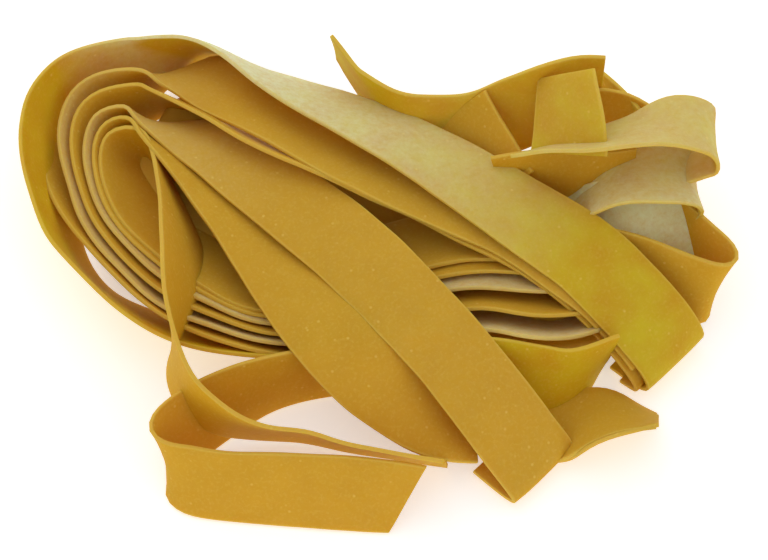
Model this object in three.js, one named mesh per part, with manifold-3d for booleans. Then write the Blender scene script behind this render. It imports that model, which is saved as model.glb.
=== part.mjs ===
// Dry pasta nest: a hank of wide flat egg ribbons, coiled at the left and crossed over itself.
// Millimetres, +Z up, the nest rests on z = 0, its long side runs along X.
import * as THREE from "three";
import { mergeVertices } from "three/addons/utils/BufferGeometryUtils.js";
import Module from "manifold-3d";

const RIBBON_WIDTH = 18;
const RIBBON_THICKNESS = 0.9;
const FACET_LENGTH = 5.4; // longest straight piece of a swept ribbon
const CORE_HEIGHT = 10; // hidden filling under the whole coil
const MIDDLE_HEIGHT = 15; // and under the strands that cross over it
const CLUSTER_HEIGHT = 20; // hidden filling under the loose loops at the right
const SLIVER = 0.05; // faces thinner than this are merged into their neighbours
const PASTA_COLOUR = "#c9932a";
const PASTA_ROUGHNESS = 0.85;

// The coiled bundle: [inner rim x, y, outer rim x, y, rim height, inner lift, outer lift].
// Each turn lies a set share of the way from the inner rim to the outer one; its lift is the
// angle it leans above level, and the innermost turn leans the most.
const BUNDLE = [
  [52, 3, 47, -13.5, 13.5, 20, 38],
  [43, 2.6, 41, -16.5, 15.5, 20, 44],
  [32, 2, 32, -17.5, 16.5, 20, 44],
  [17, 2, 21, -15, 16.5, 20, 44],
  [-4, -4, 0, -17, 16, 22, 44],
  [-25, -10, -21, -18, 15, 26, 45],
  [-40, -3, -37, -13.5, 15, 30, 46],
  [-48, 3, -50, -7, 15, 32, 46],
  [-57, 12, -64, 9, 15, 34, 46],
  [-62, 22, -69.5, 21, 15, 38, 48],
  [-63.5, 32, -73, 36, 15.5, 46, 50],
  [-61, 37, -69.5, 48, 16.5, 64, 60],
];

// Share of each turn and the run that leaves it over the top: [x, y, z, heading, lift].
// Heading and lift, in degrees, point across the ribbon from its lower edge to its upper one.
const TURNS = {
  inner: {
    share: 0,
    run: [
      [-55.4, 36.3, 9.9, 60, 88],
      [-52.1, 34.4, 10.2, -150, 84],
      [-49.8, 30.2, 10.8, 180, 80],
      [-46.8, 22.5, 12.6, 176, 73],
      [-44, 11, 17, 168, 62],
      [-43.5, 1.5, 20, -176, 65],
      [-44, -7, 22, -143, 68],
      [-44.5, -14.5, 22.5, -110, 66],
      [-44.5, -20.5, 22, -78, 63],
      [-43.5, -27, 20, -50, 60],
      [-40, -32, 17, -32, 63],
      [-33, -36, 13.5, -38, 66],
      [-25, -36.5, 11, -70, 69],
      [-16, -37, 10, -82, 70],
      [-8, -39, 9.5, -88, 68],
      [2, -41, 9.5, -94, 67],
      [13, -43, 9.5, -88, 66],
    ],
  },
  fifth: {
    share: 0.17,
    run: [
      [-55.6, 38.8, 9.8, 75, 86],
      [-51.6, 37.4, 11, -125, 74],
      [-48, 34.4, 13, -114, 57],
      [-43.8, 30.2, 14.8, -121, 43],
      [-38, 23.5, 16, -131, 30],
      [-31, 14, 17, -142, 20],
      [-24, 3, 17.5, -149, 9],
      [-17.5, -8.3, 18.7, -157, 0],
      [-10, -18.7, 18.7, -154, -3],
      [-1.5, -26.6, 15.6, -145, -9],
      [6.5, -30.5, 11.8, -137, -5],
      [13, -32.5, 8, -122, 12],
      [19, -32.5, 4.5, -100, 20],
    ],
  },
  fourth: {
    share: 0.4,
    run: [
      [-57.7, 41.8, 9.7, 80, 86],
      [-54.8, 42.2, 10, -115, 80],
      [-51.2, 40.8, 11.4, -112, 64],
      [-46.8, 39.4, 13.6, -112, 42],
      [-41.3, 35, 15.8, -115, 25],
      [-35.9, 30.4, 17.4, -120, 15],
      [-24, 18.8, 19.2, -131, 2],
      [-13, 8.4, 20.5, -137, -6],
      [-4, -0.8, 21, -141, -10],
      [6, -12, 20.2, -138, -6],
      [14, -21, 18.4, -136, -4],
      [21, -29.2, 14.8, -136, -6],
      [28.5, -37.5, 9.5, -137, -8],
      [33.5, -42.5, 5.5, -137, -4],
      [34.5, -43.5, 2.8, -137, 0],
      [31, -40.5, 1.6, -137, 2],
      [25, -35, 1.6, -137, 4],
    ],
  },
  third: {
    share: 0.7,
    run: [
      [-57.2, 46, 9.7, 95, 82],
      [-53, 48.7, 10, -100, 78],
      [-49.4, 47.9, 11, -100, 69],
      [-45.4, 45.5, 12.4, -99, 62],
      [-37.6, 40.2, 14.4, -100, 58],
      [-30.5, 34.8, 16, -103, 56],
      [-23.4, 30.5, 17, -106, 53],
      [-12.9, 26.3, 17.5, -108, 46],
      [-0.5, 21.3, 18, -110, 34],
      [10.9, 17.1, 18.3, -112, 22],
      [21.2, 12.2, 18.3, -115, 12],
      [32.4, 6.8, 17.8, -118, 4],
      [42.6, -0.1, 16.3, -122, 0],
      [49.5, -5.8, 14.3, -126, -5],
      [55.3, -11.2, 10.5, -129, -6],
      [60.3, -16.4, 6, -132, 0],
      [61, -16.5, 3.5, -132, 0],
      [57, -13, 2.2, -132, 0],
    ],
  },
  second: {
    share: 1,
    run: [
      [-57.4, 50.4, 9.6, 98, 80],
      [-52.8, 53.2, 10.3, -95, 76],
      [-49, 54.1, 11.6, -98, 58],
      [-45.9, 53.9, 13.4, -98, 42],
      [-42, 52.1, 15.4, -98, 24],
      [-36.7, 47.8, 17.2, -98, 14],
      [-30.2, 42.4, 18.6, -100, 16],
      [-20.6, 35, 19.4, -105, 25],
      [-9.2, 26.7, 20.3, -108, 26],
      [2.9, 20.6, 20.8, -110, 18],
      [15.4, 15.2, 21, -112, 7],
      [29, 9.2, 20.7, -116, -3],
      [40, 1.5, 19.5, -120, -8],
      [49, -5, 17, -124, -10],
      [55.5, -10.5, 13, -128, -10],
      [59.5, -14.5, 9, -132, 0],
    ],
  },
};

// A stray turn that lies against the outside of the bundle: [rim x, y, rim height, lift].
const STRAY_RIM = [
  [-16, -20.5, 13.5, 42],
  [-30, -18.6, 14.5, 44],
  [-43, -13.5, 14.8, 46],
  [-53, -6.5, 14.8, 46],
  [-61.7, 3, 14.8, 46],
  [-70, 13.4, 14.8, 46],
  [-74.6, 22.5, 14.2, 44],
  [-76, 30, 12.8, 40],
  [-75.5, 35, 11.6, 36],
];

// The outermost turn stands clear of the bundle: [rim x, y, rim height, lift].
const OUTER_RIM = [
  [49.5, -17.9, 17.9, 78],
  [44, -19.8, 17.6, 94],
  [38, -19.6, 16.1, 115],
  [27, -17.2, 16.1, 120],
  [18, -17, 17.4, 106],
  [9, -18, 17.4, 70],
  [-2, -20, 14, 48],
  [-12, -21, 14, 46],
  [-20, -21, 14.6, 46],
  [-30, -20.3, 14.6, 46],
  [-45, -16.8, 14, 46],
  [-56, -10.4, 14, 56],
  [-65, -2.3, 15.5, 66],
  [-72, 6, 18.5, 66],
  [-76, 13.8, 20.5, 62],
  [-79.5, 24.4, 21.2, 58],
  [-80.5, 34.5, 21.2, 58],
  [-79, 44, 20.8, 62],
  [-74, 52.4, 20, 68],
  [-65, 57.5, 19.3, 74],
  [-56, 59.8, 18.8, 80],
];
// ... and comes back over the heap as the long top ribbon, folded under at its end.
const TOP_RUN = [
  [-48.5, 59.5, 13, -120, 84],
  [-44, 60, 15, -95, 70],
  [-39, 58, 17, -94, 60],
  [-33, 53.5, 19, -98, 56],
  [-26.5, 48.5, 20, -103, 48],
  [-17, 42, 21.5, -106, 37],
  [-7.5, 36.5, 22.5, -107, 29],
  [2.5, 30, 23.5, -109, 22],
  [13, 23, 23.5, -110, 15],
  [24, 14.5, 23.5, -113, 5],
  [34, 7.5, 22.5, -115, -3],
  [44, 0.5, 20.5, -122, -10],
  [52, -7, 17.5, -127, -12],
  [58.5, -12.6, 13, -132, -10],
  [62.6, -16.4, 8.5, -133, -4],
  [63.6, -17.3, 5, -133, 0],
  [61, -14.8, 2.4, -133, 0],
  [55, -9.5, 1.8, -133, 0],
];

// Loose ribbons: [x, y, z, heading, lift].
const LOOSE = {
  front_loop: [
    [-5, -19.5, 7, 176, 54],
    [-16, -21.8, 8, 168, 68],
    [-24, -24, 8.5, 150, 74],
    [-30, -26.5, 8.5, 140, 70],
    [-36, -30, 8.5, 128, 64],
    [-41, -33.5, 8.3, 122, 60],
    [-45, -37, 8.2, 118, 58],
    [-46.5, -40, 8.2, 112, 57],
    [-46.5, -43, 8.2, 108, 60],
    [-44, -45.5, 8.2, 104, 60],
    [-39, -47, 8.2, 100, 61],
    [-32, -48, 8.2, 94, 62],
    [-22, -48.5, 8.2, 86, 60],
    [-12, -49, 8, 80, 56],
    [-4, -49.5, 7.8, 72, 55],
    [5, -50.8, 7.8, 48, 56],
  ],
  side_loop: [
    [40, 8, 13, 90, 55],
    [47, 4, 13, 90, 59],
    [55.5, 1.5, 12.5, 92, 58],
    [62.5, -1, 12, 88, 64],
    [68, -3, 12, 76, 68],
    [72, -3.5, 12, 52, 66],
    [73.5, -1.5, 12, 45, 60],
    [72.5, 2, 12, 46, 62],
    [69.5, 6, 12, 45, 70],
    [65.5, 11, 12, 40, 74],
    [61, 16, 12, 28, 77],
    [55, 21, 12, 28, 77],
  ],
  arched_low: [
    [38, 14, 13, 90, 5],
    [44, 11.5, 16, 90, 14],
    [50, 11.5, 18.3, 90, 29],
    [56, 11, 18, 84, 36],
    [61, 10, 16, 72, 38],
    [64, 8, 12.5, 60, 44],
    [65.5, 6, 9.5, 52, 55],
  ],
  arched_high: [
    [34.8, 13.4, 12, 94, -32],
    [39.6, 17.2, 13.2, 98, -32],
    [43.9, 19, 17.6, 98, -30],
    [48.5, 18.5, 23, 98, -26],
    [54, 18.7, 25, 97, -20],
    [59.3, 18.6, 25.5, 94, -15],
    [64.9, 19, 24.5, 89, -18],
    [67.7, 19.8, 22, 85, -23],
    [68.3, 20.2, 18.5, 84, -24],
    [67.8, 20.5, 15, 84, -24],
  ],
  curl: [
    [32, 24.4, 26, 88, -56],
    [37, 23.5, 29.5, 87, -52],
    [42, 23, 31, 87, -47],
    [47, 23.5, 32, 88, -42],
    [55, 25, 33, 89, -36],
    [61, 26.5, 33, 88, -24],
    [66, 27.5, 32, 89, -16],
    [70.5, 27.5, 30, 88, -17],
    [72.5, 27, 26.5, 86, -22],
    [72, 27, 23.5, 86, -22],
    [68, 26, 21.5, 86, -22],
    [60, 25, 20.5, 88, -20],
  ],
  flap: [
    [39.9, 21.5, 29, -14, 25],
    [40, 24.4, 31, -17, 29],
    [39.8, 28.8, 34, -21, 36],
    [39.3, 33.4, 37, -26, 43],
    [39.2, 36.2, 38.4, -29, 47],
  ],
  far: [
    [-11, 54, 23, -84, 63],
    [-8.5, 50.5, 22, -78, 63],
    [-6, 47.5, 20, -72, 60],
    [-2.5, 43.5, 19, -58, 64],
    [1.5, 39.5, 18, -20, 76],
    [7, 36, 17.5, 60, 68],
    [14.4, 35.5, 17.5, 84, 66],
    [20, 35.7, 18.2, 90, 68],
    [26, 36.3, 20.3, 92, 66],
    [32.1, 37, 24.5, 92, 68],
    [37.3, 38.8, 28.3, 90, 76],
    [42.5, 40.7, 29.5, 90, 88],
    [48, 40.4, 29.5, 88, 88],
  ],
  far_right: [
    [46.3, 46.4, 17.6, 90, 88],
    [48.6, 44.4, 17.6, 90, 88],
    [52.4, 40.3, 17.5, 90, 88],
    [56.2, 35.2, 17, 90, 88],
    [57.9, 32.2, 16, 90, 88],
  ],
  inner_right: [
    [43.2, 38.4, 19, 90, 80],
    [47.4, 37.7, 19, 90, 78],
    [51.1, 36.9, 19, 90, 74],
    [54, 35.7, 18.6, 90, 70],
    [57, 33.3, 17.5, 90, 66],
  ],
  under_curl: [
    [25.5, 21.2, 16.8, 84, 77],
    [32, 21, 18.6, 90, 73],
    [40.5, 20.8, 19, 90, 68],
    [48.2, 20.1, 18.5, 92, 66],
    [54.5, 21.6, 17.5, 95, 66],
  ],
  tucked: [
    [15.9, 37.7, 22, 1, 39],
    [21.3, 28.9, 18, 0, 39],
    [26.7, 19.3, 16, 0, 40],
  ],
  short_end: [
    [35, -31, 2, 90, -3],
    [39, -31, 3.2, 90, -8],
    [43.5, -30.5, 6.2, 88, -20],
    [48, -30.5, 7.8, 88, -28],
    [52.5, -31.5, 8, 90, -42],
    [58, -32.5, 8, 86, -54],
  ],
  short_end_low: [
    [36, -30, 1.4, 90, 0],
    [41, -30.8, 2.4, 90, -8],
    [47, -32, 6.5, 89, -38],
    [53, -32.5, 7.2, 88, -50],
    [58.5, -32.5, 7.2, 86, -57],
  ],
};

// Plan outlines of the hidden filling, [x, y].
const CORE_OUTLINE = [
  [-50, 6], [-56, 18], [-57, 30], [-54, 40], [-48, 47.5], [-40, 48.5], [-30, 42], [-16, 36], [0, 32],
  [20, 30], [40, 22], [56, 8], [54, -8], [30, -14], [10, -14], [-10, -14], [-36, -8],
];
const MIDDLE_OUTLINE = [
  [-38, 6], [-41, 22], [-40, 34], [-26, 37], [-8, 31], [12, 27], [34, 20], [50, 4], [52, -6], [34, -11],
  [10, -12], [-10, -11], [-26, -6],
];
const CLUSTER_OUTLINE = [[30, 12], [24, 30], [34, 36], [50, 34], [64, 26], [66, 14], [56, 6], [42, 4]];

const wasm = await Module();
wasm.setup();

function acrossVector(heading, lift) {
  const h = THREE.MathUtils.degToRad(heading);
  const l = THREE.MathUtils.degToRad(lift);
  return new THREE.Vector3(Math.cos(h) * Math.cos(l), Math.sin(h) * Math.cos(l), Math.sin(l));
}

function mix(a, b, share) {
  return a + (b - a) * share;
}

// Stations along a rim given by its upper edge: the ribbon leans outward from under it.
function leaningStations(rim) {
  return rim.map(([x, y, z, lift], i) => {
    const before = rim[Math.max(i - 1, 0)];
    const after = rim[Math.min(i + 1, rim.length - 1)];
    const outward = Math.atan2(after[1] - before[1], after[0] - before[0]) + Math.PI / 2;
    const across = acrossVector(THREE.MathUtils.radToDeg(outward), lift);
    const centre = new THREE.Vector3(x, y, z).addScaledVector(across, -RIBBON_WIDTH / 2);
    return { centre, across };
  });
}

function turnStations(share) {
  return leaningStations(BUNDLE.map(([xi, yi, xo, yo, z, innerLift, outerLift]) =>
    [mix(xi, xo, share), mix(yi, yo, share), z, mix(innerLift, outerLift, share)]));
}

function freeStations(run) {
  return run.map(([x, y, z, heading, lift]) =>
    ({ centre: new THREE.Vector3(x, y, z), across: acrossVector(heading, lift) }));
}

// Nothing goes through the table: a ribbon whose lower edge would is raised.
function restOnTable(station) {
  const reach = Math.abs(station.across.z) * RIBBON_WIDTH / 2 + RIBBON_THICKNESS / 2;
  station.centre.z = Math.max(station.centre.z, reach);
  return station;
}

// A flat ribbon swept along its stations: a long box bent to the route.
function ribbon(stations) {
  const placed = stations.map(restOnTable);
  const path = new THREE.CatmullRomCurve3(placed.map((s) => s.centre), false, "catmullrom", 0.5);
  const sides = new THREE.CatmullRomCurve3(placed.map((s) => s.across), false, "catmullrom", 0.5);
  const steps = Math.ceil(path.getLength() / FACET_LENGTH);
  const geometry = new THREE.BoxGeometry(1, 1, 1, steps, 1, 1);
  const position = geometry.attributes.position;
  for (let i = 0; i < position.count; i++) {
    const t = THREE.MathUtils.clamp(position.getX(i) + 0.5, 0, 1);
    const u = path.getUtoTmapping(t);
    const tangent = path.getTangent(u);
    const across = sides.getPoint(u).projectOnPlane(tangent).normalize();
    const normal = new THREE.Vector3().crossVectors(tangent, across);
    const point = path.getPoint(u)
      .addScaledVector(across, position.getY(i) * RIBBON_WIDTH)
      .addScaledVector(normal, position.getZ(i) * RIBBON_THICKNESS);
    position.setXYZ(i, point.x, point.y, Math.max(point.z, 0));
  }
  return geometry;
}

function lump(outline, height) {
  const spline = new THREE.CatmullRomCurve3(
    outline.map(([x, y]) => new THREE.Vector3(x, y, 0)), true, "catmullrom", 0.5);
  const shape = new THREE.Shape(spline.getPoints(outline.length * 2).map((p) =>
    new THREE.Vector2(p.x, p.y)));
  return new THREE.ExtrudeGeometry(shape, { depth: height, bevelEnabled: false });
}

function toManifold(geometry) {
  const bare = geometry.clone();
  bare.deleteAttribute("normal");
  bare.deleteAttribute("uv");
  const merged = mergeVertices(bare, 1e-4);
  return new wasm.Manifold(new wasm.Mesh({
    numProp: 3,
    vertProperties: new Float32Array(merged.attributes.position.array),
    triVerts: new Uint32Array(merged.index.array),
  }));
}

function toGeometry(solid) {
  const mesh = solid.getMesh();
  const geometry = new THREE.BufferGeometry();
  const points = new Float32Array(mesh.numVert * 3);
  for (let i = 0; i < mesh.numVert; i++) {
    points.set(mesh.vertProperties.subarray(i * mesh.numProp, i * mesh.numProp + 3), i * 3);
  }
  geometry.setAttribute("position", new THREE.BufferAttribute(points, 3));
  geometry.setIndex(new THREE.BufferAttribute(new Uint32Array(mesh.triVerts), 1));
  geometry.computeVertexNormals();
  return geometry;
}

function allRibbons() {
  const turns = Object.values(TURNS).map(({ share, run }) =>
    ribbon([...turnStations(share), ...freeStations(run)]));
  const stray = ribbon(leaningStations(STRAY_RIM));
  const top = ribbon([...leaningStations(OUTER_RIM), ...freeStations(TOP_RUN)]);
  const loose = Object.values(LOOSE).map((run) => ribbon(freeStations(run)));
  return [...turns, stray, top, ...loose];
}

// One closed body without slivers: any hollow sealed between ribbons is filled.
function withoutHollows(solid) {
  const bodies = solid.simplify(SLIVER).decompose().sort((a, b) => b.volume() - a.volume());
  return bodies[0];
}

function pastaNest() {
  const pieces = allRibbons().map(toManifold);
  pieces.push(toManifold(lump(CORE_OUTLINE, CORE_HEIGHT)));
  pieces.push(toManifold(lump(MIDDLE_OUTLINE, MIDDLE_HEIGHT)));
  pieces.push(toManifold(lump(CLUSTER_OUTLINE, CLUSTER_HEIGHT)));
  const whole = pieces.reduce((sum, piece) => sum.add(piece));
  const material = new THREE.MeshStandardMaterial({
    color: PASTA_COLOUR,
    roughness: PASTA_ROUGHNESS,
    metalness: 0,
  });
  const geometry = toGeometry(withoutHollows(whole));
  geometry.computeBoundingBox();
  const middle = geometry.boundingBox.getCenter(new THREE.Vector3());
  geometry.translate(-middle.x, -middle.y, 0);
  const mesh = new THREE.Mesh(geometry, material);
  mesh.name = "pasta_nest";
  return mesh;
}

const group = new THREE.Group();
group.name = "dry_pasta_nest";
group.add(pastaNest());
export default group;
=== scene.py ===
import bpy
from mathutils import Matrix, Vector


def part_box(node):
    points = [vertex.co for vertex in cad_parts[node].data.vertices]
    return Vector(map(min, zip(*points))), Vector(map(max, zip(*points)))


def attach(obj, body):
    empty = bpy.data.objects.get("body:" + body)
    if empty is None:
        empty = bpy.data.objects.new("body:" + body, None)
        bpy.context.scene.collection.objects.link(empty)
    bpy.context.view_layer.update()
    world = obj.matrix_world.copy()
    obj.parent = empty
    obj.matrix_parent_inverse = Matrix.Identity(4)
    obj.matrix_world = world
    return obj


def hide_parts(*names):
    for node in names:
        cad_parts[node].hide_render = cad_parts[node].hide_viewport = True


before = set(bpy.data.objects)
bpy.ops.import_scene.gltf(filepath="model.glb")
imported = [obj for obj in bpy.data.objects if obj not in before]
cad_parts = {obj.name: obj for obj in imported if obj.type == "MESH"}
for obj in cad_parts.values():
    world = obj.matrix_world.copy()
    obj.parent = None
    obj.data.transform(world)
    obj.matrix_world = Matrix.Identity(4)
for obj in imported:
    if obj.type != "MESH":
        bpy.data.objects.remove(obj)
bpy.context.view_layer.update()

import math

import bpy
import numpy as np
from mathutils import Vector, noise

mm = 0.001
ribbonCut = {
    "width": 18.0,       # mm, as cut
    "thickness": 0.9,
    "edgeRound": 0.16,   # worn edge of the cut
    "step": 1.6,         # mm between mesh rows along a ribbon
    "acrossSteps": 8,
    "settle": 4,         # how often the edges are evened out along the ribbon
    "ripple": 0.28,      # mm, slow swells of the dried sheet
    "rippleSize": 13.0,
    "edgeWander": 0.22,  # mm, the cut is not quite straight
    "cup": 0.35,         # mm, the middle dries lower than the edges
    "wanderSize": 9.0,   # mm along the edge from one wander to the next
    "slantReach": 12.0,  # mm over which a slanted cut dies away
    "cupCentre": 0.4,    # share of the cup by which the middle lies below the flat sheet
    "tableGap": 0.6,     # share of the thickness that the middle of a ribbon keeps off the table
}

# Routes in mm: bundle rims are inner x, y, outer x, y, rim height, lift;
# runs are x, y, z, heading, lift, where heading and lift point across the ribbon.
bundleRims = [
    (52, 3, 47, -13.5, 13.5, 20, 38), (43, 2.6, 41, -16.5, 15.5, 20, 44),
    (32, 2, 32, -17.5, 16.5, 20, 44), (17, 2, 21, -15, 16.5, 20, 44), (-4, -4, 0, -17, 16, 22, 44),
    (-25, -10, -21, -18, 15, 26, 45), (-40, -3, -37, -13.5, 15, 30, 46), (-48, 3, -50, -7, 15, 32, 46),
    (-57, 12, -64, 9, 15, 34, 46), (-62, 22, -69.5, 21, 15, 38, 48),
    (-63.5, 32, -73, 36, 15.5, 46, 50), (-61, 37, -69.5, 48, 16.5, 64, 60),
]
bundleTurns = {
    "innerTurn": {"share": 0, "run": [
        (-55.4, 36.3, 9.9, 60, 88), (-52.1, 34.4, 10.2, -150, 84), (-49.8, 30.2, 10.8, 180, 80),
        (-46.8, 22.5, 12.6, 176, 73), (-44, 11, 17, 168, 62), (-43.5, 1.5, 20, -176, 65),
        (-44, -7, 22, -143, 68), (-44.5, -14.5, 22.5, -110, 66), (-44.5, -20.5, 22, -78, 63),
        (-43.5, -27, 20, -50, 60), (-40, -32, 17, -32, 63), (-33, -36, 13.5, -38, 66),
        (-25, -36.5, 11, -70, 69), (-16, -37, 10, -82, 70), (-8, -39, 9.5, -88, 68),
        (2, -41, 9.5, -94, 67), (13, -43, 9.5, -88, 66),
    ]},
    "fifthTurn": {"share": 0.17, "run": [
        (-55.6, 38.8, 9.8, 75, 86), (-51.6, 37.4, 11, -125, 74), (-48, 34.4, 13, -114, 57),
        (-43.8, 30.2, 14.8, -121, 43), (-38, 23.5, 16, -131, 30), (-31, 14, 17, -142, 20),
        (-24, 3, 17.5, -149, 9), (-17.5, -8.3, 18.7, -157, 0), (-10, -18.7, 18.7, -154, -3),
        (-1.5, -26.6, 15.6, -145, -9), (6.5, -30.5, 11.8, -137, -5), (13, -32.5, 8, -122, 12),
        (19, -32.5, 4.5, -100, 20),
    ]},
    "fourthTurn": {"share": 0.4, "run": [
        (-57.7, 41.8, 9.7, 80, 86), (-54.8, 42.2, 10, -115, 80), (-51.2, 40.8, 11.4, -112, 64),
        (-46.8, 39.4, 13.6, -112, 42), (-41.3, 35, 15.8, -115, 25), (-35.9, 30.4, 17.4, -120, 15),
        (-24, 18.8, 19.2, -131, 2), (-13, 8.4, 20.5, -137, -6), (-4, -0.8, 21, -141, -10),
        (6, -12, 20.2, -138, -6), (14, -21, 18.4, -136, -4), (21, -29.2, 14.8, -136, -6),
        (28.5, -37.5, 9.5, -137, -8), (33.5, -42.5, 5.5, -137, -4), (34.5, -43.5, 2.8, -137, 0),
        (31, -40.5, 1.6, -137, 2), (25, -35, 1.6, -137, 4),
    ]},
    "thirdTurn": {"share": 0.7, "run": [
        (-57.2, 46, 9.7, 95, 82), (-53, 48.7, 10, -100, 78), (-49.4, 47.9, 11, -100, 69),
        (-45.4, 45.5, 12.4, -99, 62), (-37.6, 40.2, 14.4, -100, 58), (-30.5, 34.8, 16, -103, 56),
        (-23.4, 30.5, 17, -106, 53), (-12.9, 26.3, 17.5, -108, 46), (-0.5, 21.3, 18, -110, 34),
        (10.9, 17.1, 18.3, -112, 22), (21.2, 12.2, 18.3, -115, 12), (32.4, 6.8, 17.8, -118, 4),
        (42.6, -0.1, 16.3, -122, 0), (49.5, -5.8, 14.3, -126, -5), (55.3, -11.2, 10.5, -129, -6),
        (60.3, -16.4, 6, -132, 0), (61, -16.5, 3.5, -132, 0), (57, -13, 2.2, -132, 0),
    ]},
    "secondTurn": {"share": 1, "run": [
        (-57.4, 50.4, 9.6, 98, 80), (-52.8, 53.2, 10.3, -95, 76), (-49, 54.1, 11.6, -98, 58),
        (-45.9, 53.9, 13.4, -98, 42), (-42, 52.1, 15.4, -98, 24), (-36.7, 47.8, 17.2, -98, 14),
        (-30.2, 42.4, 18.6, -100, 16), (-20.6, 35, 19.4, -105, 25), (-9.2, 26.7, 20.3, -108, 26),
        (2.9, 20.6, 20.8, -110, 18), (15.4, 15.2, 21, -112, 7), (29, 9.2, 20.7, -116, -3),
        (40, 1.5, 19.5, -120, -8), (49, -5, 17, -124, -10), (55.5, -10.5, 13, -128, -10),
        (59.5, -14.5, 9, -132, 0),
    ]},
}
strayRim = [
    (-16, -20.5, 13.5, 42), (-30, -18.6, 14.5, 44), (-43, -13.5, 14.8, 46), (-53, -6.5, 14.8, 46),
    (-61.7, 3, 14.8, 46), (-70, 13.4, 14.8, 46), (-74.6, 22.5, 14.2, 44), (-76, 30, 12.8, 40),
    (-75.5, 35, 11.6, 36),
]
outerRim = [
    (49.5, -17.9, 17.9, 78), (44, -19.8, 17.6, 94), (38, -19.6, 16.1, 115), (27, -17.2, 16.1, 120),
    (18, -17, 17.4, 106), (9, -18, 17.4, 70), (-2, -20, 14, 48), (-12, -21, 14, 46),
    (-20, -21, 14.6, 46), (-30, -20.3, 14.6, 46), (-45, -16.8, 14, 46), (-56, -10.4, 14, 56),
    (-65, -2.3, 15.5, 66), (-72, 6, 18.5, 66), (-76, 13.8, 20.5, 62), (-79.5, 24.4, 21.2, 58),
    (-80.5, 34.5, 21.2, 58), (-79, 44, 20.8, 62), (-74, 52.4, 20, 68), (-65, 57.5, 19.3, 74),
    (-56, 59.8, 18.8, 80),
]
topRun = [
    (-48.5, 59.5, 13, -120, 84), (-44, 60, 15, -95, 70), (-39, 58, 17, -94, 60),
    (-33, 53.5, 19, -98, 56), (-26.5, 48.5, 20, -103, 48), (-17, 42, 21.5, -106, 37),
    (-7.5, 36.5, 22.5, -107, 29), (2.5, 30, 23.5, -109, 22), (13, 23, 23.5, -110, 15),
    (24, 14.5, 23.5, -113, 5), (34, 7.5, 22.5, -115, -3), (44, 0.5, 20.5, -122, -10),
    (52, -7, 17.5, -127, -12), (58.5, -12.6, 13, -132, -10), (62.6, -16.4, 8.5, -133, -4),
    (63.6, -17.3, 5, -133, 0), (61, -14.8, 2.4, -133, 0), (55, -9.5, 1.8, -133, 0),
]
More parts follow.
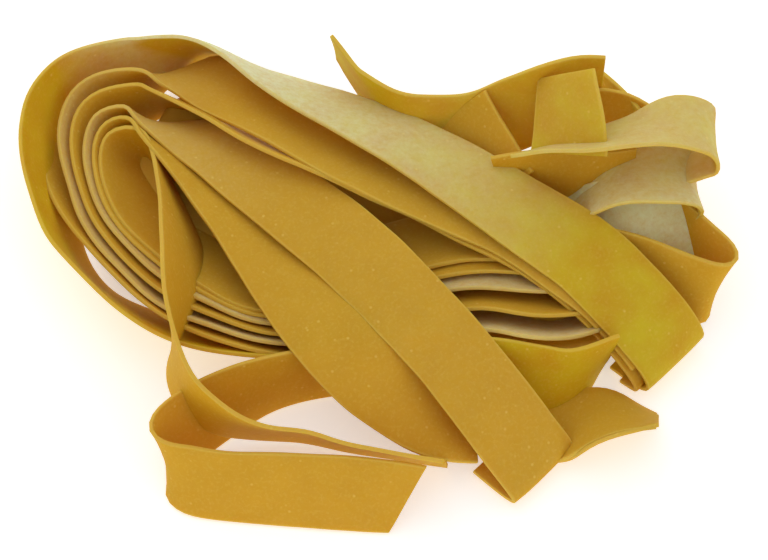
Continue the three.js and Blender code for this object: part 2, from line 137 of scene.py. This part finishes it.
looseRuns = {
    "frontLoop": [
        (-5, -19.5, 7, 176, 54), (-16, -21.8, 8, 168, 68), (-24, -24, 8.5, 150, 74),
        (-30, -26.5, 8.5, 140, 70), (-36, -30, 8.5, 128, 64), (-41, -33.5, 8.3, 122, 60),
        (-45, -37, 8.2, 118, 58), (-46.5, -40, 8.2, 112, 57), (-46.5, -43, 8.2, 108, 60),
        (-44, -45.5, 8.2, 104, 60), (-39, -47, 8.2, 100, 61), (-32, -48, 8.2, 94, 62),
        (-22, -48.5, 8.2, 86, 60), (-12, -49, 8, 80, 56), (-4, -49.5, 7.8, 72, 55),
        (5, -50.8, 7.8, 48, 56),
    ],
    "sideLoop": [
        (40, 8, 13, 90, 55), (47, 4, 13, 90, 59), (55.5, 1.5, 12.5, 92, 58), (62.5, -1, 12, 88, 64),
        (68, -3, 12, 76, 68), (72, -3.5, 12, 52, 66), (73.5, -1.5, 12, 45, 60), (72.5, 2, 12, 46, 62),
        (69.5, 6, 12, 45, 70), (65.5, 11, 12, 40, 74), (61, 16, 12, 28, 77), (55, 21, 12, 28, 77),
    ],
    "archedLow": [
        (38, 14, 13, 90, 5), (44, 11.5, 16, 90, 14), (50, 11.5, 18.3, 90, 29), (56, 11, 18, 84, 36),
        (61, 10, 16, 72, 38), (64, 8, 12.5, 60, 44), (65.5, 6, 9.5, 52, 55),
    ],
    "archedHigh": [
        (34.8, 13.4, 12, 94, -32), (39.6, 17.2, 13.2, 98, -32), (43.9, 19, 17.6, 98, -30),
        (48.5, 18.5, 23, 98, -26), (54, 18.7, 25, 97, -20), (59.3, 18.6, 25.5, 94, -15),
        (64.9, 19, 24.5, 89, -18), (67.7, 19.8, 22, 85, -23), (68.3, 20.2, 18.5, 84, -24),
        (67.8, 20.5, 15, 84, -24),
    ],
    "curl": [
        (32, 24.4, 26, 88, -56), (37, 23.5, 29.5, 87, -52), (42, 23, 31, 87, -47),
        (47, 23.5, 32, 88, -42), (55, 25, 33, 89, -36), (61, 26.5, 33, 88, -24),
        (66, 27.5, 32, 89, -16), (70.5, 27.5, 30, 88, -17), (72.5, 27, 26.5, 86, -22),
        (72, 27, 23.5, 86, -22), (68, 26, 21.5, 86, -22), (60, 25, 20.5, 88, -20),
    ],
    "flap": [
        (39.9, 21.5, 29, -14, 25), (40, 24.4, 31, -17, 29), (39.8, 28.8, 34, -21, 36),
        (39.3, 33.4, 37, -26, 43), (39.2, 36.2, 38.4, -29, 47),
    ],
    "far": [
        (-11, 54, 23, -84, 63), (-8.5, 50.5, 22, -78, 63), (-6, 47.5, 20, -72, 60),
        (-2.5, 43.5, 19, -58, 64), (1.5, 39.5, 18, -20, 76), (7, 36, 17.5, 60, 68),
        (14.4, 35.5, 17.5, 84, 66), (20, 35.7, 18.2, 90, 68), (26, 36.3, 20.3, 92, 66),
        (32.1, 37, 24.5, 92, 68), (37.3, 38.8, 28.3, 90, 76), (42.5, 40.7, 29.5, 90, 88),
        (48, 40.4, 29.5, 88, 88),
    ],
    "farRight": [
        (46.3, 46.4, 17.6, 90, 88), (48.6, 44.4, 17.6, 90, 88), (52.4, 40.3, 17.5, 90, 88),
        (56.2, 35.2, 17, 90, 88), (57.9, 32.2, 16, 90, 88),
    ],
    "innerRight": [
        (43.2, 38.4, 19, 90, 80), (47.4, 37.7, 19, 90, 78), (51.1, 36.9, 19, 90, 74),
        (54, 35.7, 18.6, 90, 70), (57, 33.3, 17.5, 90, 66),
    ],
    "underCurl": [
        (25.5, 21.2, 16.8, 84, 77), (32, 21, 18.6, 90, 73), (40.5, 20.8, 19, 90, 68),
        (48.2, 20.1, 18.5, 92, 66), (54.5, 21.6, 17.5, 95, 66),
    ],
    "tucked": [
        (15.9, 37.7, 22, 1, 39), (21.3, 28.9, 18, 0, 39), (26.7, 19.3, 16, 0, 40),
    ],
    "shortEnd": [
        (35, -31, 2, 90, -3), (39, -31, 3.2, 90, -8), (43.5, -30.5, 6.2, 88, -20),
        (48, -30.5, 7.8, 88, -28), (52.5, -31.5, 8, 90, -42), (58, -32.5, 8, 86, -54),
    ],
    "shortEndLow": [
        (36, -30, 1.4, 90, 0), (41, -30.8, 2.4, 90, -8), (47, -32, 6.5, 89, -38),
        (53, -32.5, 7.2, 88, -50), (58.5, -32.5, 7.2, 86, -57),
    ],
}


def acrossVector(heading, lift):
    h, l = math.radians(heading), math.radians(lift)
    return np.array([math.cos(h) * math.cos(l), math.sin(h) * math.cos(l), math.sin(l)])


def leaningStations(rim):
    stations = []
    for i, (x, y, z, lift) in enumerate(rim):
        before, after = rim[max(i - 1, 0)], rim[min(i + 1, len(rim) - 1)]
        outward = math.degrees(math.atan2(after[1] - before[1], after[0] - before[0])) + 90
        across = acrossVector(outward, lift)
        stations.append((np.array([x, y, z]) - across * ribbonCut["width"] / 2, across))
    return stations


def turnStations(share):
    return leaningStations([
        (xi + (xo - xi) * share, yi + (yo - yi) * share, z, li + (lo - li) * share)
        for xi, yi, xo, yo, z, li, lo in bundleRims])


def freeStations(run):
    return [(np.array([x, y, z], float), acrossVector(h, l)) for x, y, z, h, l in run]


def onTable(stations):
    half = ribbonCut["width"] / 2
    lift = ribbonCut["thickness"] / 2 + 0.05
    return [(np.array([c[0], c[1], max(c[2], abs(a[2]) * half + lift)]), a) for c, a in stations]


def splinePoint(points, u):
    last = len(points) - 1
    i = min(int(u), last - 1)
    t = u - i
    p1, p2 = points[i], points[i + 1]
    p0 = points[i - 1] if i else 2 * p1 - p2
    p3 = points[i + 2] if i + 2 <= last else 2 * p2 - p1
    return 0.5 * (2 * p1 + (p2 - p0) * t + (2 * p0 - 5 * p1 + 4 * p2 - p3) * t * t
                  + (3 * p1 - p0 - 3 * p2 + p3) * t ** 3)


def evened(line):
    # a dried ribbon has no kinks: each row moves toward its neighbours
    for _ in range(ribbonCut["settle"]):
        line[1:-1] = (line[:-2] + 2 * line[1:-1] + line[2:]) / 4
    return line


def routeFrames(stations):
    # evenly spaced (place along in mm, centre, across, normal) down the ribbon
    centres, sides = zip(*onTable(stations))
    fine = np.linspace(0, len(centres) - 1, len(centres) * 40)
    path = np.array([splinePoint(centres, u) for u in fine])
    reach = np.concatenate([[0], np.cumsum(np.linalg.norm(np.diff(path, axis=0), axis=1))])
    steps = max(2, round(reach[-1] / ribbonCut["step"]))
    alongs = np.linspace(0, reach[-1], steps + 1)
    half = ribbonCut["width"] / 2
    lower, upper = [], []
    for along in alongs:
        u = float(np.interp(along, reach, fine))
        ahead = splinePoint(centres, min(u + 0.02, len(centres) - 1))
        behind = splinePoint(centres, max(u - 0.02, 0))
        tangent = (ahead - behind) / np.linalg.norm(ahead - behind)
        across = splinePoint(sides, u)
        across = across - tangent * across.dot(tangent)
        across *= half / np.linalg.norm(across)
        lower.append(splinePoint(centres, u) - across)
        upper.append(splinePoint(centres, u) + across)
    lower, upper = evened(np.array(lower)), evened(np.array(upper))
    middles = (lower + upper) / 2
    tangents = np.gradient(middles, axis=0)
    frames = []
    for i, along in enumerate(alongs):
        across = (upper[i] - lower[i]) / np.linalg.norm(upper[i] - lower[i])
        normal = np.cross(tangents[i], across)
        frames.append((along, middles[i], across, normal / np.linalg.norm(normal)))
    return frames


def useOnly(obj):
    bpy.ops.object.select_all(action="DESELECT")
    obj.select_set(True)
    bpy.context.view_layer.objects.active = obj


def applyAll(obj):
    useOnly(obj)
    for modifier in list(obj.modifiers):
        bpy.ops.object.modifier_apply(modifier=modifier.name)


# mm by which the upper corner of a ribbon's last cut lies behind the lower one
slantedCuts = {"frontLoop": 3.4}


def layRibbon(name, stations, seed, finish):
    frames = routeFrames(stations)
    slant = slantedCuts.get(name, 0)
    rows, cols = len(frames) - 1, ribbonCut["acrossSteps"]
    bpy.ops.object.select_all(action="DESELECT")
    bpy.ops.mesh.primitive_grid_add(x_subdivisions=rows, y_subdivisions=cols, size=1,
                                    location=(0, 0, 0))
    ribbon = bpy.context.object
    ribbon.name = name
    mesh = ribbon.data
    mesh.name = name
    flat = {}
    for vertex in mesh.vertices:
        row = round((vertex.co.x + 0.5) * rows)
        side = vertex.co.y * 2
        along, centre, across, normal = frames[row]
        spot = Vector((along / ribbonCut["wanderSize"], seed * 7.3 + side * 3, 0))
        wander = noise.noise(spot) * ribbonCut["edgeWander"]
        offset = side * ribbonCut["width"] / 2 + wander * side
        place = centre + across * offset
        nearEnd = max(0, 1 - (frames[-1][0] - along) / ribbonCut["slantReach"])
        place = place + np.cross(across, normal) * slant * side * nearEnd
        swell = ribbonCut["ripple"] * noise.noise(
            Vector(place / ribbonCut["rippleSize"]) + Vector((seed, 0, 0)))
        place = place + normal * (swell + ribbonCut["cup"] * (side * side - ribbonCut["cupCentre"]))
        place[2] = max(place[2], ribbonCut["thickness"] * ribbonCut["tableGap"])
        flat[vertex.index] = (along, offset)
        vertex.co = Vector(place * mm) + nestShift
    layer = mesh.uv_layers.active.data
    for loop in mesh.loops:
        along, offset = flat[loop.vertex_index]
        layer[loop.index].uv = (along * mm, offset * mm)
    solid = ribbon.modifiers.new("thickness", "SOLIDIFY")
    solid.thickness = ribbonCut["thickness"] * mm
    solid.offset = 0
    edge = ribbon.modifiers.new("edge", "BEVEL")
    edge.width = ribbonCut["edgeRound"] * mm
    edge.segments = 2
    edge.limit_method = "ANGLE"
    edge.angle_limit = math.radians(50)
    applyAll(ribbon)
    bpy.ops.object.shade_smooth_by_angle(angle=math.radians(50))
    mesh.materials.clear()
    mesh.materials.append(finish)
    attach(ribbon, "root")
    return ribbon


# Dough: rolled and cut egg dough, dried on a rack.
def linearColour(code):
    channels = [int(code[i:i + 2], 16) / 255 for i in (1, 3, 5)]
    return [c / 12.92 if c <= 0.04045 else ((c + 0.055) / 1.055) ** 2.4 for c in channels] + [1]


def addNode(tree, kind, settings=None, links=None):
    # settings go to the node itself or, by name or number, to its sockets
    node = tree.nodes.new(kind)
    for key, value in (settings or {}).items():
        if isinstance(key, int) or key in node.inputs:
            node.inputs[key].default_value = value
        else:
            setattr(node, key, value)
    for key, source in (links or {}).items():
        tree.links.new(source, node.inputs[key])
    return node


doughLook = {
    "gold": "#D9A51C",     # the dough as rolled
    "olive": "#D8BD1E",    # greener tone, painted light: the olive look of back-lit, shaded turns
    "deep": "#D29E16",     # where egg and flour are mixed less evenly
    "pale": "#ECCB5C",     # semolina specks, blisters
    "flourAndSheen": "#F2F5CC",    # dusting that kept the strips apart, also used as painted sheen
    "edgeHighlight": "#E6C45C",  # painted highlight along the cut edge
    "patchSize": 9.0,      # mm, cloudy patches of the dough
    "grainSize": 0.7,      # mm
    "dustSize": 1.7,       # mm
    "blisterGap": 3.2,     # mm between blisters
    "streakGap": 0.55,     # mm between roller marks
    "edgeWidth": 0.35,     # mm of the face beside the cut that gets the painted edge highlight
}


def driedEggDough(name, flourAndSheen=(0.1, 0.1), fade=(0, 100), bare=0, streaks=0.15, tone="gold"):
    # rolled between steel rollers, then air dried: matt, cloudy, flour and painted sheen on the side
    # that faces up
    material = bpy.data.materials.new(name)
    material.use_nodes = True
    tree = material.node_tree
    tree.nodes.clear()
    place = addNode(tree, "ShaderNodeTexCoord")
    spot, strip = place.outputs["Object"], place.outputs["UV"]
    lengthways = addNode(tree, "ShaderNodeSeparateXYZ", None, {"Vector": strip})
    facing = addNode(tree, "ShaderNodeNewGeometry")
    upward = addNode(tree, "ShaderNodeSeparateXYZ", None, {"Vector": facing.outputs["Normal"]})

    # cloudy dough: two close tones
    patches = addNode(tree, "ShaderNodeTexNoise",
                      {"Scale": 1000 / doughLook["patchSize"], "Detail": 3.0}, {"Vector": spot})
    cloud = addNode(tree, "ShaderNodeMapRange", {"From Min": 0.25, "From Max": 0.75},
                    {"Value": patches.outputs["Fac"]})
    dough = addNode(tree, "ShaderNodeMix", {"data_type": "RGBA", 6: linearColour(doughLook["deep"]),
                    7: linearColour(doughLook[tone])}, {0: cloud.outputs["Result"]})

    # fine semolina grain
    grain = addNode(tree, "ShaderNodeTexNoise", {"Scale": 1000 / doughLook["grainSize"], "Detail": 2.0},
                    {"Vector": spot})
    speck = addNode(tree, "ShaderNodeMapRange", {"From Min": 0.5, "From Max": 0.78, "To Max": 0.22},
                    {"Value": grain.outputs["Fac"]})
    grained = addNode(tree, "ShaderNodeMix", {"data_type": "RGBA", 7: linearColour(doughLook["pale"])},
                      {0: speck.outputs["Result"], 6: dough.outputs[2]})

    # sparse pale blisters
    cells = addNode(tree, "ShaderNodeTexVoronoi", {"Scale": 1000 / doughLook["blisterGap"]},
                    {"Vector": spot})
    blister = addNode(tree, "ShaderNodeMapRange", {"From Min": 0.05, "From Max": 0.13, "To Min": 0.5,
                      "To Max": 0.0}, {"Value": cells.outputs["Distance"]})
    blistered = addNode(tree, "ShaderNodeMix",
                        {"data_type": "RGBA", 7: linearColour(doughLook["pale"])},
                        {0: blister.outputs["Result"], 6: grained.outputs[2]})

    # flour and painted sheen: fades along the strip, paler on what faces up, uneven
    amount = addNode(tree, "ShaderNodeMapRange", {"From Min": fade[0] * mm, "From Max": fade[1] * mm,
                     "To Min": flourAndSheen[0], "To Max": flourAndSheen[1]}, {"Value": lengthways.outputs["X"]})
    begun = addNode(tree, "ShaderNodeMapRange",
                    {"From Min": (bare - 20) * mm, "From Max": (bare + 5) * mm},
                    {"Value": lengthways.outputs["X"]})
    # painted light: faces that point up get more of the pale flour colour, as a sheen
    upFacingFlourAndSheen = addNode(tree, "ShaderNodeMapRange", {"From Min": -0.1, "From Max": 0.6},
                      {"Value": upward.outputs["Z"]})
    flourAndSheenAlong = addNode(tree, "ShaderNodeMath", {"operation": "MULTIPLY"},
                     {0: begun.outputs["Result"], 1: amount.outputs["Result"]})
    dust = addNode(tree, "ShaderNodeTexNoise", {"Scale": 1000 / doughLook["dustSize"], "Detail": 6.0,
                   "Roughness": 0.7}, {"Vector": spot})
    clumps = addNode(tree, "ShaderNodeMapRange", {"From Min": 0.3, "From Max": 0.7, "To Min": 0.6,
                     "To Max": 1.15}, {"Value": dust.outputs["Fac"]})
    flourAndSheenOnTop = addNode(tree, "ShaderNodeMath", {"operation": "MULTIPLY"},
                    {0: flourAndSheenAlong.outputs["Value"], 1: upFacingFlourAndSheen.outputs["Result"]})
    flourAndSheenMask = addNode(tree, "ShaderNodeMath", {"operation": "MULTIPLY"},
                      {0: flourAndSheenOnTop.outputs["Value"], 1: clumps.outputs["Result"]})
    flouredAndSheened = addNode(tree, "ShaderNodeMix", {"data_type": "RGBA", 7: linearColour(doughLook["flourAndSheen"])},
                      {0: flourAndSheenMask.outputs["Value"], 6: blistered.outputs[2]})

    # painted highlight: the face is paler beside the cut edge
    side = addNode(tree, "ShaderNodeMath", {"operation": "ABSOLUTE"}, {0: lengthways.outputs["Y"]})
    half = ribbonCut["width"] / 2
    edgeHighlightShare = addNode(tree, "ShaderNodeMapRange", {"From Min": (half - doughLook["edgeWidth"] - 0.2) * mm,
                    "From Max": (half - 0.1) * mm, "To Max": 0.45}, {"Value": side.outputs["Value"]})
    edgeHighlighted = addNode(tree, "ShaderNodeMix",
                      {"data_type": "RGBA", 7: linearColour(doughLook["edgeHighlight"])},
                      {0: edgeHighlightShare.outputs["Result"], 6: flouredAndSheened.outputs[2]})

    # roller marks run along the strip
    stretch = addNode(tree, "ShaderNodeMapping", {"Scale": (160, 1000 / doughLook["streakGap"], 1)},
                      {"Vector": strip})
    marks = addNode(tree, "ShaderNodeTexNoise", {"Scale": 1.0, "Detail": 3.0},
                    {"Vector": stretch.outputs["Vector"]})
    relief = addNode(tree, "ShaderNodeMath", {"operation": "MULTIPLY_ADD", 1: streaks},
                     {0: marks.outputs["Fac"], 2: grain.outputs["Fac"]})
    raised = addNode(tree, "ShaderNodeMath", {"operation": "MULTIPLY_ADD", 1: 0.8},
                     {0: blister.outputs["Result"], 2: relief.outputs["Value"]})
    bump = addNode(tree, "ShaderNodeBump", {"Strength": 0.5, "Distance": 0.1 * mm},
                   {"Height": raised.outputs["Value"]})
    shader = addNode(tree, "ShaderNodeBsdfPrincipled", {
        "Roughness": 0.65, "IOR": 1.45, "Specular IOR Level": 0.12,
        "Subsurface Weight": 0.3, "Subsurface Radius": (4 * mm, 2.2 * mm, 0.4 * mm),
        "Subsurface Scale": 0.7},
        {"Base Color": edgeHighlighted.outputs[2], "Normal": bump.outputs["Normal"]})
    addNode(tree, "ShaderNodeOutputMaterial", None, {"Surface": shader.outputs["BSDF"]})
    return material


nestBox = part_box("pasta_nest")
print("nest", nestBox)
routes = {name: turnStations(turn["share"]) + freeStations(turn["run"])
          for name, turn in bundleTurns.items()}
routes["strayTurn"] = leaningStations(strayRim)
routes["topRibbon"] = leaningStations(outerRim) + freeStations(topRun)
routes.update({name: freeStations(run) for name, run in looseRuns.items()})


def nestMiddle():
    # where the routes' own middle lies, so that they can be put on the frame's
    half = ribbonCut["width"] / 2
    edges = np.array([centre + across * half * side
                      for stations in routes.values()
                      for _, centre, across, _ in routeFrames(stations)
                      for side in (-1, 1)])
    return (edges.min(axis=0) + edges.max(axis=0)) / 2


middle = nestMiddle()
boxMiddle = (Vector(nestBox[0]) + Vector(nestBox[1])) / 2
nestShift = Vector((boxMiddle.x - middle[0] * mm, boxMiddle.y - middle[1] * mm, nestBox[0][2]))
print("routes middle", middle, "shift", nestShift)

topFlourAndSheenStart = routeFrames(leaningStations(outerRim))[-1][0]
print("top ribbon bare for", topFlourAndSheenStart)
# the flour amounts also paint light: a pale sheen on the second, fourth and top ribbons, and paler
# arches where they lie in shade
dough = driedEggDough("dried egg dough", (0.04, 0.04))
paleDough = driedEggDough("lightly floured egg dough", (0.42, 0.05), (60, 190))
# painted light: the olive tone here and below gives the look of back-lit, shaded faces
oliveDough = driedEggDough("olive-toned egg dough", (0.06, 0.06), tone="olive")
topDough = driedEggDough("egg dough floured at one end", (1.0, 0.02), (topFlourAndSheenStart, topFlourAndSheenStart + 118),
                         bare=topFlourAndSheenStart, tone="olive")
flouredAndSheenedDough = driedEggDough("floured egg dough", (0.75, 0.75), tone="olive")
brushedDough = driedEggDough("rolled egg dough", (0.3, 0.3), streaks=0.9, tone="olive")
archDough = driedEggDough("rolled floured dough", (0.5, 0.5), streaks=0.9, tone="olive")
finishes = {"topRibbon": topDough, "archedLow": flouredAndSheenedDough, "archedHigh": archDough,
            "curl": brushedDough, "secondTurn": paleDough, "fourthTurn": paleDough,
            "flap": oliveDough, "far": oliveDough, "farRight": oliveDough}
for seed, (name, stations) in enumerate(routes.items()):
    layRibbon(name, stations, seed, finishes.get(name, dough))
    print("ribbon", name)
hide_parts("pasta_nest")

# Packed inner turns: what is seen between the ribbons
corePack = {
    "height": 6.5,  # mm, low enough to stay in the shade of the turns
    "subdivide": 6,
    "edge": 2.0,    # mm, softened rim
}
coreOutline = [
    (-50, 6), (-56, 18), (-57, 30), (-54, 40), (-48, 51.5), (-39, 52.5), (-30, 44), (-16, 36), (0, 32),
    (20, 30), (40, 22), (56, 8), (54, -8), (30, -14), (10, -14), (-10, -14), (-36, -8),
]


def layCore():
    # a block poured to the outline of the coil, with a softened rim
    count = len(coreOutline) * corePack["subdivide"]
    bpy.ops.object.select_all(action="DESELECT")
    bpy.ops.mesh.primitive_cylinder_add(vertices=count, radius=1, depth=1, location=(0, 0, 0))
    core = bpy.context.object
    core.name = core.data.name = "innerTurns"
    rim = [np.array([x, y, 0.0]) for x, y in coreOutline]
    rim = [rim[-1]] + rim + rim[:2]
    for vertex in core.data.vertices:
        turn = (math.atan2(vertex.co.y, -vertex.co.x) / math.tau) % 1
        place = splinePoint(rim, 1 + turn * len(coreOutline))
        up = 1 if vertex.co.z > 0 else 0
        height = corePack["height"] if up else ribbonCut["thickness"]
        vertex.co = Vector((place[0], place[1], height)) * mm + nestShift
    edge = core.modifiers.new("edge", "BEVEL")
    edge.width = corePack["edge"] * mm
    edge.segments = 3
    applyAll(core)
    bpy.ops.object.shade_smooth_by_angle(angle=math.radians(50))
    core.data.materials.clear()
    core.data.materials.append(driedEggDough("egg dough in the shade", (0, 0), tone="deep"))
    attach(core, "root")
    return core


layCore()
print("inner turns")


# Floor: glows a little, as paper under a studio window does
paper = {"size": 6.0, "colour": (0.95, 0.95, 0.95, 1), "glow": 0.42, "roughness": 0.9}
bpy.ops.object.select_all(action="DESELECT")
bpy.ops.mesh.primitive_plane_add(size=paper["size"], location=(0, 0, nestBox[0][2]))
floor = bpy.context.object
floor.name = "paleFloor"
floorLook = bpy.data.materials.new("pale paper floor")
floorLook.use_nodes = True
paperInputs = floorLook.node_tree.nodes["Principled BSDF"].inputs
paperInputs["Base Color"].default_value = paper["colour"]
paperInputs["Emission Color"].default_value = (1, 1, 1, 1)
paperInputs["Emission Strength"].default_value = paper["glow"]
paperInputs["Roughness"].default_value = paper["roughness"]
floor.data.materials.append(floorLook)
print("floor")

# Camera: looks down along +Y
cameraView = {"elevation": 60.0, "distance": 600.0, "lens": 129.3, "sensor": 36, "targetHeight": 12.0}
target = Vector((nestShift.x, nestShift.y, nestShift.z + cameraView["targetHeight"] * mm))
rise = math.radians(cameraView["elevation"])
away = Vector((0, -math.cos(rise), math.sin(rise))) * cameraView["distance"] * mm
cameraData = bpy.data.cameras.new("photoCamera")
cameraData.lens = cameraView["lens"]
cameraData.sensor_width = cameraView["sensor"]
camera = bpy.data.objects.new("photoCamera", cameraData)
camera.location = target + away
camera.rotation_euler = (math.radians(90) - rise, 0, 0)
bpy.context.scene.collection.objects.link(camera)
bpy.context.scene.camera = camera


# Lights: name, place in m, size in m, power in W, colour
studio = [
    ("backWindow", (-0.35, 0.75, 0.55), 0.7, 1.15, (0.97, 0.98, 1.0)),
    ("overhead", (-0.1, 0.1, 1.0), 0.8, 0.6, (1, 1, 1)),
    ("frontFill", (0.2, -0.8, 0.6), 0.8, 0.4, (1, 1, 1)),
]
skyStrength = 0.66


def softLight(name, place, size, power, colour):
    data = bpy.data.lights.new(name, "AREA")
    data.energy = power
    data.size = size
    data.color = colour
    light = bpy.data.objects.new(name, data)
    light.location = place
    light.rotation_euler = (target - Vector(place)).to_track_quat("-Z", "Y").to_euler()
    bpy.context.scene.collection.objects.link(light)


for lamp in studio:
    softLight(*lamp)
world = bpy.data.worlds.new("studio")
world.use_nodes = True
world.node_tree.nodes["Background"].inputs["Color"].default_value = (1, 1, 1, 1)
world.node_tree.nodes["Background"].inputs["Strength"].default_value = skyStrength
bpy.context.scene.world = world
bpy.context.scene.view_settings.view_transform = "Standard"
print("lights")
